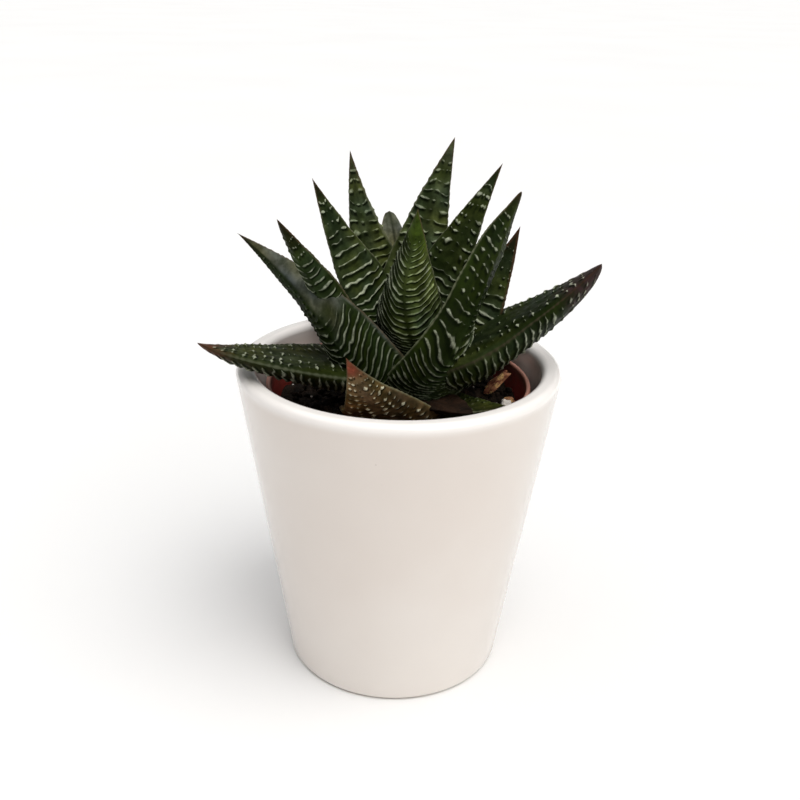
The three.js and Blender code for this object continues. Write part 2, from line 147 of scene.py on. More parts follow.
LEAF_ROWS = [
    dict(HEART, name="heart_leaf_middle", root=(85, 17.5, 0.6), rise=84, tip=(2.6, 2.2, 102),
         width=6.5, thick=5, face=85, full=0.9, young=0.9),
    dict(HEART, name="heart_leaf_left", root=(200, 17, 3), rise=72, tip=(-0.5, 1.5, 105), width=9,
         thick=4.5, face=170, full=0.9),
    dict(HEART, name="heart_leaf_right", root=(35, 17, 3), rise=74, tip=(5.5, 4, 103), width=9,
         thick=4.5, face=20, full=0.9),
    dict(name="leaf_front_centre", root=(-79, 13, 2.5), rise=82, tip=(3.4, -24, 125), width=16.1,
         thick=12, roll=-1, bow=0.58, face=-114, full=1.25, rings=210,
         step=1.5, bars=(0.72, 0.3), fade=0.82, sag=0.5, line=0.8,
         young=1.2, pale=(0.75, 0.5), point="lime", point_from=0.72, streak=0.45,
         bloom=(0.22, 0.26), bloom_side=1.6, dark=0.05, shade_left=0.62),
    dict(name="leaf_back_right_tall", root=(82, 18.4, 3.9), rise=63, tip=(12, 7, 135.1),
         width=17.6, thick=6, roll=3, bow=0.44, face=88, full=0.91,
         step=2.2, bars=(0.3, 0.16), fade=0.96, dot=1,
         young=0.32, pale=(0.9, 0.7), point="grey", streak=0.4, bloom=(0.45, 0.75)),
    dict(name="leaf_back_left_tall", root=(118, 17.5, 3.8), rise=34, tip=(-12.8, 12.4, 130.7),
         width=15.7, thick=6, roll=-18, bow=0.59, face=90, full=0.99,
         step=2.3, bars=(0.4, 0.4), fade=0.97, dot=0.95, margin=0.65,
         young=0.9, pale=(0.9, 0.7), point="grey", point_from=0.92, lime_side=-1, streak=0.3,
         bloom=(0.45, 0.85), bloom_side=-1),
    dict(name="leaf_right_tall", root=(34, 17.6, 3.1), rise=65, tip=(23.4, 5.6, 129.6),
         width=16.6, thick=5.8, roll=1, bow=0.38, face=65, full=0.99,
         step=2.3, bars=(0.45, 0.4), fade=0.96, dot=0.6, bold=0.8,
         young=0.05, pale=(1, 0.8), bloom=(0.14, 0.26)),
    dict(name="leaf_left_tall", root=(165, 17, 3.1), rise=52, tip=(-20.7, -2, 126.6), width=15.5,
         thick=6.7, roll=4, bow=0.43, face=109, full=1.02,
         bars=(0.62, 0.68), fade=0.96, line=0.72, dot=0.7,
         young=0.1, pale=(1, 1), bloom=(0.04, 0.38)),
    dict(name="leaf_back_short", root=(96, 12.5, 5), rise=44, tip=(-3.4, 28, 112.8), width=13,
         thick=5.5, roll=5, bow=0.48, face=115, full=0.42, low=1,
         step=2.6, bars=(0.7, 0.1), fade=0.3,
         pale=(0.8, 0.15), point="grey", point_from=0.97, streak=0.3, grey_face=0.9, grey_from=0,
         midline=0.7),
    dict(name="leaf_left_upper", root=(195, 11.5, 7), rise=53, tip=(-26.7, -20, 121.1), width=12,
         thick=5.5, roll=13, bow=0.6, face=232, full=0.88,
         step=2, bars=(0.72, 0.75), fade=0.93, line=0.72, teeth=0.3,
         young=0.02, pale=(0.55, 0.6), point_from=0.84, bloom=(0, 0.15), rust=0.6),
    dict(name="leaf_right_upper", root=(16, 8.9, 5.5), rise=31, tip=(28.8, 8.4, 114.1),
         width=20.5, thick=6, roll=5, bow=0.38, face=75, full=1,
         step=2.1, bars=(0.62, 0.6), fade=0.95, bold=0.75, margin=0.9,
         pale=(0.6, 0.75), point_from=0.86, bloom=(0.5, 0.35), rust=0.9),
    dict(name="leaf_front_right", root=(-66, 2.9, 7.2), rise=58, tip=(28.1, 4, 123.3), width=25,
         thick=6.5, roll=44, face=-71, full=0.58, sharp=0.35, last=0.996, rings=240,
         step=1.3, bars=(0.54, 0.4), fade=0.97, sag=0.45, line=0.72, broken=1.8, dot=0.7,
         bold=0.8, wobble=0.5, straighten=0.8, coarse_left=1.75, plain_right=0.45, teeth=0.25,
         young=0.08, pale=(0.6, 0.6), point_from=0.93, base_pale=0.4, streak=0.25,
         bloom=(0.24, 0.03), bloom_side=1.6, shade_left=0.3, rust=0.2),
    dict(name="leaf_front_left", root=(-126, 3, 7), rise=58, tip=(-40.4, 10, 110.5), width=23,
         thick=9, roll=7, face=-125, full=1.12, rings=220,
         step=1.5, bars=(0.54, 0.2), fade=0.56, sag=0.45, half_smooth=1, teeth=0.55,
         young=0.12, pale=(0.46, 0.12), point_from=0.94, grey_face=0.9, grey_from=0.53, dark=0.2,
         rust=0.75, margin_light=0.8),
    dict(name="leaf_back_right", root=(55, 7, 5.5), rise=30, tip=(22, 34, 95), width=18, thick=7,
         face=55, full=0.85, low=1, young=0.05, point_from=0.82),
    dict(name="leaf_right_outer", root=(-7, 9, 5), rise=29, tip=(47.4, -2.1, 108), width=26.2,
         thick=11.8, roll=33, bow=0.66, face=-56, full=0.62,
         step=2.1, bars=(0.6, 0.1), fade=0.97, dot=0.7, bold=0.8, teeth=0.55, margin=0.3,
         pale=(0.55, 0.9), point="plum", point_from=0.72, bloom=(0.42, 0.02), dark=0.22, rust=0.6,
         margin_light=0.45),
    dict(name="leaf_left_outer", root=(205, 9.6, 7), rise=10, tip=(-47.2, -12, 89.6), width=24,
         thick=8, roll=-7, bow=0.75, face=240, full=0.73,
         step=1.9, bars=(0.9, 0.2), fade=0.93, line=1, dot=0.7, bold=0.95, teeth=0.55,
         pale=(0.3, 0.55), point="russet", point_from=0.8, bloom=(0, 0.42), bloom_side=-1.2,
         dark=0.22, back_tint=(0.45, 0.33, 0.3), brown=0.04, rust=0.1, margin_light=0.6),
    dict(name="leaf_back_left", root=(138, 5, 5.5), rise=24, tip=(-23, 33, 89), width=18, thick=7,
         face=138, full=0.85, low=1, young=0.05, point_from=0.82),
    dict(name="leaf_back_outer", root=(98, 3.5, 6), rise=18, tip=(-3, 45, 90), width=18, thick=7,
         face=98, full=0.8, low=1, point="russet", point_from=0.8),
    dict(name="leaf_back_right_low", root=(36, 2.5, 6), rise=12, tip=(35, 25, 88), width=17,
         thick=6.5, face=36, full=0.8, low=1,
         step=2.3, bars=(0.6, 0.2), pale=(0.7, 0.4), point="russet", point_from=0.75),
    dict(name="leaf_front_low", root=(-105, -0.5, 7.2), rise=16, tip=(-11.3, -31.3, 94), width=25,
         thick=4.7, roll=7, bow=0.55, face=-88, full=1.12,
         step=1.5, bars=(0, 0), fade=0.9, dot=0.5, bold=1,
         pale=(1, 0.6), point="coral", brown=0.95),
    dict(name="leaf_front_right_low", root=(-42, 1, 7), rise=5, tip=(26, -19, 78), width=16,
         thick=6, face=-38, full=0.8,
         step=2.1, bars=(0.2, 0.1), fade=0.9, young=0.55, pale=(0.5, 0.35), brown=0.08),
    dict(name="dried_leaf", root=(-64, 3.6, 8), rise=8, tip=(17, -23, 78), width=13, thick=2.8,
         face=-60, full=0.6, low=1, step=0),
]
LEAVES = [{**PLAIN_LEAF, **row} for row in LEAF_ROWS]

# Perlite and bark on the soil. tilt, turn: degrees about Y, and then about Z.
BITS = [
    dict(name="perlite_right", at=(26.5, -7.5, 73.0), size=(1.5, 1.5, 2.0), turn=23, tilt=0),
    dict(name="perlite_left", at=(-24, -13, 72), size=(1.6, 1.4, 1.2), turn=63, tilt=0),
    dict(name="bark_right", at=(25.2, 5, 74.6), size=(4.2, 1.6, 1.2), turn=12, tilt=-42),
    dict(name="bark_right_small", at=(27.9, -0.8, 71.8), size=(1.7, 1.1, 1.0), turn=130, tilt=8),
]

# Linear colours of the leaves
DEEP_GREEN = (0.0066, 0.0120, 0.0022)
MID_GREEN = (0.0175, 0.0310, 0.0058)
LIME_GREEN = (0.080, 0.108, 0.013)
FACE_GREY = (0.150, 0.155, 0.118)
BLOOM_GREEN = (0.092, 0.118, 0.050)
OLIVE_BROWN = (0.310, 0.190, 0.085)
# Painted shadow just below the ridges' crests
CREST_SHADOW_GREEN = (0.004, 0.007, 0.002)
CREST = (0.46, 0.49, 0.37)
# The tubercles' white core, partly their own colour and partly painted highlight
CREST_CORE_AND_GLINT = (0.72, 0.76, 0.60)
MARGIN_PALE = (0.150, 0.172, 0.105)
MARGIN_RUST = (0.075, 0.032, 0.018)
PATCH_LIGHT = (1.9, 1.7, 1.3)
POINTS = {
    "lime": (0.052, 0.086, 0.012),
    "olive": (0.075, 0.085, 0.030),
    "grey": (0.070, 0.078, 0.050),
    "umber": (0.020, 0.016, 0.008),
    "plum": (0.034, 0.019, 0.020),
    "russet": (0.080, 0.028, 0.014),
    "coral": (0.420, 0.085, 0.055),
}
DRIED_LEAF = (0.005, 0.003, 0.0015), (0.026, 0.012, 0.006)
DRIED_SPOT = (0.065, 0.036, 0.020)

# Linear colours of the rest. A pair is the dark and the light end of a clouded colour.
GLAZE = (0.745, 0.675, 0.62), (0.79, 0.735, 0.685)
GLAZE_SPECK = (0.42, 0.37, 0.31)
# Painted light on the lip
GLAZE_LIP_PAINTED_LIGHT = (0.95, 0.92, 0.895)
BARE_CLAY = (0.62, 0.55, 0.46)
TERRACOTTA = (0.150, 0.038, 0.026), (0.250, 0.090, 0.066)
# Painted highlight on the rim's top
TERRACOTTA_RIM_HIGHLIGHT = (0.66, 0.33, 0.25)
# Painted shade below the rim, inside the pot
TERRACOTTA_PAINTED_SHADE = (0.26, 0.022, 0.016)
DUST = (0.035, 0.022, 0.015)
PEAT = (0.0040, 0.0030, 0.0022), (0.034, 0.021, 0.013)
PEAT_FIBRE = (0.070, 0.046, 0.028)
PERLITE = (0.66, 0.58, 0.50), (0.90, 0.86, 0.80)
BARK = (0.24, 0.060, 0.032), (0.62, 0.30, 0.15)
BARK_GOLDEN = (0.95, 0.60, 0.24)
BARK_SPOT = (0.022, 0.010, 0.006)
STEM = (0.14, 0.085, 0.035), (0.42, 0.30, 0.13)
FLOOR = (0.86, 0.86, 0.86), (0.88, 0.88, 0.88)

# Studio and camera
FLOOR_REACH = 12
WORLD_STRENGTH = 0.30
CAMERA_ELEVATION = 23.1
CAMERA_ROLL = 1.25
CAMERA_LOOKS_AT = (0.0005, 0, 0.0711)
CAMERA_DISTANCE = 0.252
CAMERA_LENS = 45


# Numbers: noise, smooth steps and vectors


def smooth(x, low=0.0, high=1.0):
    t = np.clip((x - low) / (high - low), 0, 1)
    return t * t * (3 - 2 * t)


def lattice(ix, iy, seed):
    """A number between 0 and 1 that looks random, for each point of a lattice."""
    v = np.sin(ix * 127.1 + iy * 311.7 + seed * 74.7) * 43758.5453
    return v - np.floor(v)


def noise(x, y, seed):
    """Smooth noise between -1 and 1 on a plane."""
    x, y = np.broadcast_arrays(x, y)
    ix, iy = np.floor(x), np.floor(y)
    fx, fy = smooth(x - ix), smooth(y - iy)
    near = lattice(ix, iy, seed) * (1 - fx) + lattice(ix + 1, iy, seed) * fx
    far = lattice(ix, iy + 1, seed) * (1 - fx) + lattice(ix + 1, iy + 1, seed) * fx
    return 2 * (near * (1 - fy) + far * fy) - 1


def noise3(p, seed):
    """Smooth noise, mostly between -1 and 1, in space, from three planes."""
    x, y, z = p[..., 0], p[..., 1], p[..., 2]
    return (noise(x + 0.31 * z, y, seed) + noise(y + 0.27 * x, z, seed + 9)
            + noise(z, x, seed + 17)) / 1.7


def unit(v):
    return v / np.maximum(np.linalg.norm(v, axis=-1, keepdims=True), 1e-9)


def running(steps):
    """The running total of steps as a column that starts at 0."""
    return np.concatenate([[0], np.cumsum(steps)])[:, None]


def blend(colours, other, share):
    """Colours moved towards another one by each point's share."""
    return colours + (np.array(other) - colours) * share[..., None]


# Objects and meshes


def add_object(name, data):
    obj = bpy.data.objects.new(name, data)
    bpy.context.scene.collection.objects.link(obj)
    return obj


def piece(name, places, faces, materials, node, slot, looks=None, face_slots=None):
    """A smooth shaded mesh object in metres from places in millimetres, in place of a node. looks:
    the numbers or colours of its points that its material reads."""
    mesh = bpy.data.meshes.new(name)
    mesh.from_pydata((np.asarray(places) * MM).tolist(), [], [tuple(f) for f in faces])
    for material in materials:
        mesh.materials.append(material)
    for key, values in (looks or {}).items():
        if values.ndim == 1:
            layer = mesh.attributes.new(key, "FLOAT", "POINT")
            layer.data.foreach_set("value", values.astype(np.float32))
        else:
            layer = mesh.attributes.new(key, "FLOAT_COLOR", "POINT")
            rgba = np.concatenate([values, np.ones((len(values), 1))], axis=1)
            layer.data.foreach_set("color", rgba.astype(np.float32).ravel())
    if face_slots is not None:
        mesh.polygons.foreach_set("material_index", np.asarray(face_slots, dtype=np.int32))
    mesh.polygons.foreach_set("use_smooth", np.ones(len(mesh.polygons), dtype=bool))
    mesh.update()
    obj = add_object(name, mesh)
    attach(obj, "root")
    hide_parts(node)
    return obj


def skin_faces(rings, around):
    """Quads over rings of points, with a point before the first ring and one after the last."""
    faces = []
    last = 1 + rings * around
    for j in range(around):
        k = (j + 1) % around
        faces.append((0, 1 + k, 1 + j))
        faces.append((last, last - around + j, last - around + k))
    i, j = np.meshgrid(np.arange(rings - 1), np.arange(around), indexing="ij")
    a = 1 + i * around
    k = (j + 1) % around
    quads = np.stack([a + j, a + k, a + around + k, a + around + j], axis=-1).reshape(-1, 4)
    return faces + [tuple(q) for q in quads.tolist()]


def lathe(profile, segments):
    """Places and faces of a closed turned piece. The profile runs from the axis to the axis."""
    turns = np.arange(segments) * 2 * math.pi / segments
    middle = np.array(profile[1:-1])
    rings = np.stack([middle[:, :1] * np.cos(turns), middle[:, :1] * np.sin(turns),
                      np.repeat(middle[:, 1:], segments, axis=1)], axis=-1)
    first, last = [[0, 0, profile[0][1]]], [[0, 0, profile[-1][1]]]
    places = np.concatenate([first, rings.reshape(-1, 3), last])
    return places, skin_faces(len(middle), segments)


def arc(cx, cz, r, start, end, steps):
    """Profile points on an arc. Its angles are in degrees."""
    turns = np.radians(np.linspace(start, end, steps + 1))
    return [(cx + r * math.cos(t), cz + r * math.sin(t)) for t in turns]


def line(start, end, steps):
    """Points strictly between two profile points."""
    return [(start[0] + (end[0] - start[0]) * i / steps, start[1] + (end[1] - start[1]) * i / steps)
            for i in range(1, steps)]


def ball(subdivisions):
    """Places and faces of an icosphere of radius 1."""
    bm = bmesh.new()
    bmesh.ops.create_icosphere(bm, subdivisions=subdivisions, radius=1)
    places = np.array([v.co[:] for v in bm.verts])
    faces = [tuple(v.index for v in f.verts) for f in bm.faces]
    bm.free()
    return places, faces


# Materials


class Nodes:
    """A material with a Principled shader, and short calls for the nodes in front of it."""

    def __init__(self, name, **sockets):
        self.material = bpy.data.materials.new(name)
        self.material.use_nodes = True
        self.tree = self.material.node_tree
        self.shader = self.tree.nodes["Principled BSDF"]
        for key, value in sockets.items():
            self.shader.inputs[key.replace("_", " ")].default_value = value

    def link(self, output, socket):
        """Link an output to a socket, or set the socket where the output is a number or colour."""
        if isinstance(output, bpy.types.NodeSocket):
            self.tree.links.new(output, socket)
        else:
            socket.default_value = (*output, 1) if socket.type == "RGBA" else output

    def node(self, kind, inputs, **settings):
        """The outputs of a new node."""
        node = self.tree.nodes.new("ShaderNode" + kind)
        for key, value in settings.items():
            setattr(node, key, value)
        for key, value in inputs.items():
            self.link(value, node.inputs[key])
        return node.outputs

    def field(self, name, output="Fac"):
        return self.node("Attribute", {}, attribute_name=name)[output]

    def place(self):
        return self.node("TexCoord", {})["Object"]

    def height(self):
        """Metres above the floor."""
        return self.node("SeparateXYZ", {"Vector": self.place()})["Z"]

    def scaled(self, factors):
        """The place, stretched by a factor along each axis."""
        return self.node("Mapping", {"Vector": self.place(), "Scale": factors})["Vector"]

    def noise(self, scale, detail=3.0, roughness=0.55, vector=None, distortion=0.0):
        return self.node("TexNoise", {
            "Vector": vector or self.place(), "Scale": scale, "Detail": detail,
            "Roughness": roughness, "Distortion": distortion})["Fac"]

    def cells(self, scale):
        return self.node("TexVoronoi", {"Vector": self.place(), "Scale": scale})["Distance"]

    def math(self, kind, a, b=0.0):
        return self.node("Math", {0: a, 1: b}, operation=kind)[0]

    def product(self, a, b):
        return self.math("MULTIPLY", a, b)

    def range(self, value, low, high, to_low=0.0, to_high=1.0):
        """A smooth step from to_low to to_high while the value goes from low to high."""
        return self.node("MapRange", {
            "Value": value, "From Min": low, "From Max": high, "To Min": to_low,
            "To Max": to_high}, interpolation_type="SMOOTHSTEP")["Result"]

    def mix(self, factor, a, b, kind="MIX"):
        return self.node("Mix", {"Factor": factor, 6: a, 7: b}, data_type="RGBA",
                         blend_type=kind)[2]

    def times(self, a, b):
        """Two colours multiplied."""
        return self.mix(1.0, a, b, "MULTIPLY")

    def grey(self, value):
        return self.node("CombineColor", {0: value, 1: value, 2: value})[0]

    def bump(self, height, distance, strength=1.0, under=None):
        inputs = {"Strength": strength, "Distance": distance, "Height": height}
        if under:
            inputs["Normal"] = under
        return self.node("Bump", inputs)["Normal"]

    def finish(self, colour, roughness=None, normal=None):
        for key, output in (("Base Color", colour), ("Roughness", roughness), ("Normal", normal)):
            if output:
                self.link(output, self.shader.inputs[key])
        return self.material


def leaf_material():
    """Green skin from the mesh's own tint, with white crests where its ridges and dots stand, a
    painted shadow just below each crest and a painted highlight on each crest's core.
    """
    n = Nodes("leaf_skin", IOR=1.09, Specular_IOR_Level=0.4)
    phase = n.math("FRACT", n.field("phase"))
    away = n.math("ABSOLUTE", n.math("SUBTRACT", phase, 0.5))
    reach = n.math("SUBTRACT", n.product(n.field("ridge"), 0.26), away)
    crest = n.range(reach, 0.03, 0.15)
    # Painted shadow: a dark band just below each crest, on its root side, as if lit from above.
    under_crest = n.product(n.range(phase, 0.0, 0.2), n.range(phase, 0.33, 0.43, 1.0, 0.0))
    crest_shadow = n.product(under_crest, n.range(n.field("ridge"), 0.15, 0.6))
    tint = n.field("tint", "Color")
    ground = n.mix(n.range(n.noise(420, 4, 0.6), 0.3, 0.7), n.mix(0.65, tint, DEEP_GREEN), tint)
    patch = n.range(n.noise(90, 3), 0.35, 0.75, 0, 0.35)
    ground = n.mix(patch, ground, n.times(ground, PATCH_LIGHT))
    ground = n.mix(n.product(crest_shadow, 0.8), ground, CREST_SHADOW_GREEN)
    whiten = n.field("pale")
    waxy = n.range(n.noise(900, 2), 0.35, 0.65, 0.6, 1.25)
    pale = n.times(n.field("crest_tint", "Color"), n.grey(waxy))
    colour = n.mix(n.product(crest, whiten), ground, pale)
    # The crest's whiter core: partly the tubercle's own white, partly a painted highlight.
    core_and_glint = n.product(n.range(reach, 0.13, 0.23), n.range(n.noise(650, 2), 0.45, 0.6))
    colour = n.mix(n.product(core_and_glint, n.product(whiten, 0.45)), colour, CREST_CORE_AND_GLINT)
    edge = n.range(n.field("edge"), 0.35, 0.85)
    colour = n.mix(n.product(edge, 0.75), colour, n.field("edge_tint", "Color"))
    rough = n.range(n.noise(700, 3), 0.3, 0.7, 0.36, 0.54)
    rough = n.math("ADD", rough, n.product(crest, 0.08))
    grain = n.bump(n.noise(1500, 3, 0.6), 0.00004, 0.35)
    return n.finish(colour, rough, n.bump(crest, 0.00016, 0.8, under=grain))


def dried_material():
    n = Nodes("dried_leaf_skin", Specular_IOR_Level=0.12)
    streak = n.noise(260, 4, 0.65, distortion=0.6)
    spots = n.noise(900, 3)
    colour = n.mix(n.range(streak, 0.3, 0.72), *DRIED_LEAF)
    colour = n.mix(n.range(spots, 0.6, 0.75, 0, 0.5), colour, DRIED_SPOT)
    return n.finish(colour, n.range(spots, 0.3, 0.7, 0.6, 0.9), n.bump(streak, 0.0004, 0.9))


def glaze_material():
    """White glaze with few specks, painted light that whitens the lip, and bare clay under the
    foot.
    """
    n = Nodes("white_glaze", IOR=1.52, Coat_Weight=0.35, Coat_Roughness=0.05, Coat_IOR=1.5)
    height = n.height()
    colour = n.mix(n.range(n.noise(14, 3, 0.5), 0.35, 0.65), *GLAZE)
    specks = n.range(n.cells(240), 0.035, 0.075, 0.35, 0.0)
    few = n.range(n.noise(60, 1), 0.6, 0.68)
    colour = n.mix(n.product(specks, few), colour, GLAZE_SPECK)
    bare = n.range(height, 0.0002, 0.0008, 1.0, 0.0)
    colour = n.mix(bare, colour, BARE_CLAY)
    # Painted light: the lip whiter than the wall, as if lit from above.
    colour = n.mix(n.range(height, 0.0785, 0.0812, 0.0, 0.8), colour, GLAZE_LIP_PAINTED_LIGHT)
    rough = n.range(n.noise(40, 3), 0.3, 0.7, 0.12, 0.2)
    rough = n.math("ADD", rough, n.product(bare, 0.55))
    ripple = n.bump(n.noise(55, 2, 0.4), 0.0005, 0.16)
    return n.finish(colour, rough, n.bump(n.noise(900, 2, 0.5), 0.00002, 0.2, under=ripple))


def plastic_material():
    """Dusty terracotta plastic, with a painted highlight on its rim and painted shade, mottled like
    wet stains, below it.
    """
    n = Nodes("terracotta_plastic", Specular_IOR_Level=0.4)
    cloud = n.noise(120, 4, 0.6)
    dust = n.noise(1600, 3, 0.7)
    height = n.height()
    colour = n.mix(n.range(cloud, 0.3, 0.7), *TERRACOTTA)
    colour = n.mix(n.range(dust, 0.5, 0.75, 0, 0.6), colour, DUST)
    # Painted highlight on the rim's top.
    colour = n.mix(n.range(height, 0.0762, 0.0768, 0.0, 0.75), colour, TERRACOTTA_RIM_HIGHLIGHT)
    # Painted shade below the rim, inside the pot, mottled like wet stains.
    below_rim = n.range(height, 0.0735, 0.0765, 0.85, 0.0)
    shade_below_rim = n.product(below_rim, n.range(cloud, 0.25, 0.5))
    colour = n.mix(shade_below_rim, colour, TERRACOTTA_PAINTED_SHADE)
    return n.finish(colour, n.range(cloud, 0.3, 0.7, 0.38, 0.58), n.bump(dust, 0.00005, 0.5))


def soil_material():
    n = Nodes("soil_peat", Specular_IOR_Level=0.12)
    coarse = n.noise(330, 5, 0.7)
    fine = n.noise(1400, 4, 0.7)
    colour = n.mix(n.range(coarse, 0.35, 0.7), *PEAT)
    colour = n.mix(n.range(fine, 0.58, 0.75, 0, 0.6), colour, PEAT_FIBRE)
    normal = n.bump(coarse, 0.0009, 1.0, under=n.bump(fine, 0.0003, 0.9))
    return n.finish(colour, n.range(fine, 0.3, 0.7, 0.55, 0.95), normal)


def perlite_material():
    n = Nodes("perlite_grain", Specular_IOR_Level=0.35)
    pores = n.cells(1500)
    cloud = n.noise(500, 4, 0.6)
    colour = n.mix(n.range(cloud, 0.3, 0.7), *PERLITE)
    # Painted shade in the pores.
    colour = n.mix(n.range(pores, 0.08, 0.22, 0.6, 0.0), colour, tuple(0.3 * c for c in PERLITE[0]))
    return n.finish(colour, n.range(cloud, 0.3, 0.7, 0.7, 0.95), n.bump(pores, 0.0002, 0.7))


def bark_material():
    n = Nodes("bark_chip", Specular_IOR_Level=0.3)
    layers = n.noise(300, 5, 0.65, n.scaled((1, 1, 3.5)), 0.8)
    spots = n.noise(1300, 4, 0.6)
    colour = n.mix(n.range(layers, 0.35, 0.68), *BARK)
    colour = n.mix(n.range(n.noise(620, 2, 0.5), 0.52, 0.64, 0, 0.9), colour, BARK_GOLDEN)
    colour = n.mix(n.range(spots, 0.56, 0.72, 0, 0.75), colour, BARK_SPOT)
    return n.finish(colour, n.range(spots, 0.3, 0.7, 0.6, 0.85), n.bump(layers, 0.0005, 0.9))


def stem_material():
    n = Nodes("stem_skin", Specular_IOR_Level=0.3)
    fibre = n.noise(260, 4, 0.6, n.scaled((3, 3, 0.7)))
    colour = n.mix(n.range(fibre, 0.3, 0.7), *STEM)
    return n.finish(colour, n.range(fibre, 0.3, 0.7, 0.6, 0.85), n.bump(fibre, 0.0004, 0.8))


# Leaves. In these functions s is the place along the leaf, u the place across it from -1 at the
# left margin to 1 at the right one, and wide the same in millimetres along the skin. Noise takes
# places in millimetres divided by a wavelength.


def breadth(s, full, sharp):
    """The leaf's width as a share of its widest."""
    rising = BASE_WIDTH + (1 - BASE_WIDTH) * np.sin(s / WIDEST_AT * math.pi / 2)
    falling = np.clip((1 - s) / (1 - WIDEST_AT), 0, 1) ** full
    return np.where(s < WIDEST_AT, rising, falling) * (1 - sharp * smooth(s, 0.78, 0.97))


def leaf_frame(leaf, s):
    """Centre, along, across and out of the upper face at each place along the leaf."""
    azimuth, height, r = leaf["root"]
    a = math.radians(azimuth)
    e = math.radians(leaf["rise"])
    root = np.array([STEM_X + r * math.cos(a), STEM_Y + r * math.sin(a), SOIL_Z + height])
    tip = np.array(leaf["tip"], dtype=float)
    out = np.array([math.cos(a) * math.cos(e), math.sin(a) * math.cos(e), math.sin(e)])
    knee = root + out * np.linalg.norm(tip - root) * leaf["bow"]
    t = s[:, None]
    centre = (1 - t) ** 2 * root + 2 * t * (1 - t) * knee + t ** 2 * tip
    along = unit((1 - t) * (knee - root) + t * (tip - knee))
    part = smooth(s, 0, TWIST_END)
    turn = (math.radians(leaf["face"]) - a + 5 * math.pi) % (2 * math.pi) - math.pi
    facing = a + turn * part
    level = np.stack([-np.sin(facing), np.cos(facing), np.zeros_like(s)], axis=1)
    across = unit(level - along * np.sum(level * along, axis=1, keepdims=True))
    upper = np.cross(along, across)
    roll = (math.radians(leaf["roll"]) * part)[:, None]
    return (centre, along, across * np.cos(roll) + upper * np.sin(roll),
            upper * np.cos(roll) - across * np.sin(roll))


def leaf_places(leaf, s, on_upper, on_back):
    """The plain skin: rings of points from the right margin over the upper face to the left one,
    and back under the keel. Also u, which points are on the back, and the half width."""
    centre, along, across, upper = leaf_frame(leaf, s)
    p_upper = np.linspace(1, -1, on_upper + 1)[:-1]
    p_back = np.linspace(-1, 1, on_back + 1)[:-1]
    p = np.concatenate([p_upper, p_back])
    u = 0.45 * p + 0.55 * np.sin(math.pi / 2 * p)
    is_back = np.concatenate([np.zeros(on_upper, bool), np.ones(on_back, bool)])
    size = breadth(s, leaf["full"], leaf["sharp"])[:, None]
    half = leaf["width"] / 2 * size
    front = leaf["thick"] * FRONT_SHARE * size
    back = leaf["thick"] * (1 - FRONT_SHARE) * size
    channel = CHANNEL_DEPTH * half * (1 - s[:, None])
    keel = 0.1 + 0.5 * s[:, None]
    arch = 1 - u * u
    y_upper = front * np.sqrt(arch) - channel * arch
    y_back = -(back * (1 - keel) * arch ** 0.43 + back * keel * (1 - np.abs(u)) ** 0.8)
    y = np.where(is_back, y_back, y_upper)
    shift = np.where(is_back, -0.1 * half * arch * np.minimum(1, 4 * s[:, None]), 0)
    places = (centre[:, None] + across[:, None] * (u * half)[..., None]
              + upper[:, None] * y[..., None] + along[:, None] * shift[..., None])
    return places, u, is_back, half


def outward_normals(places, centre):
    ds = np.gradient(places, axis=0)
    dt = np.roll(places, -1, axis=1) - np.roll(places, 1, axis=1)
    normal = unit(np.cross(dt, ds))
    away = places - centre[:, None]
    return normal * np.where(np.sum(normal * away, axis=-1, keepdims=True) < 0, -1, 1)


def girth_places(places, on_upper):
    """How far each point and how far the margin lies from its face's middle line along the skin."""
    steps = np.linalg.norm(np.roll(places, -1, axis=1) - places, axis=2)
    run = np.concatenate([np.zeros((len(places), 1)), np.cumsum(steps, axis=1)], axis=1)
    over_upper = run[:, on_upper:on_upper + 1]
    over_back = run[:, -1:] - over_upper
    upper_side = over_upper / 2 - run[:, :on_upper]
    back_side = run[:, on_upper:-1] - over_upper - over_back / 2
    reach = np.concatenate([np.repeat(over_upper / 2, on_upper, axis=1),
                            np.repeat(over_back / 2, places.shape[1] - on_upper, axis=1)], axis=1)
    return np.concatenate([upper_side, back_side], axis=1), reach


def rough_side(leaf, u, is_back):
    """1 on the half of the back that stays ridged on a leaf whose other half goes smooth."""
    return np.where(is_back, 1 - smooth(u, -0.15, 0.2), 0) * leaf["half_smooth"]


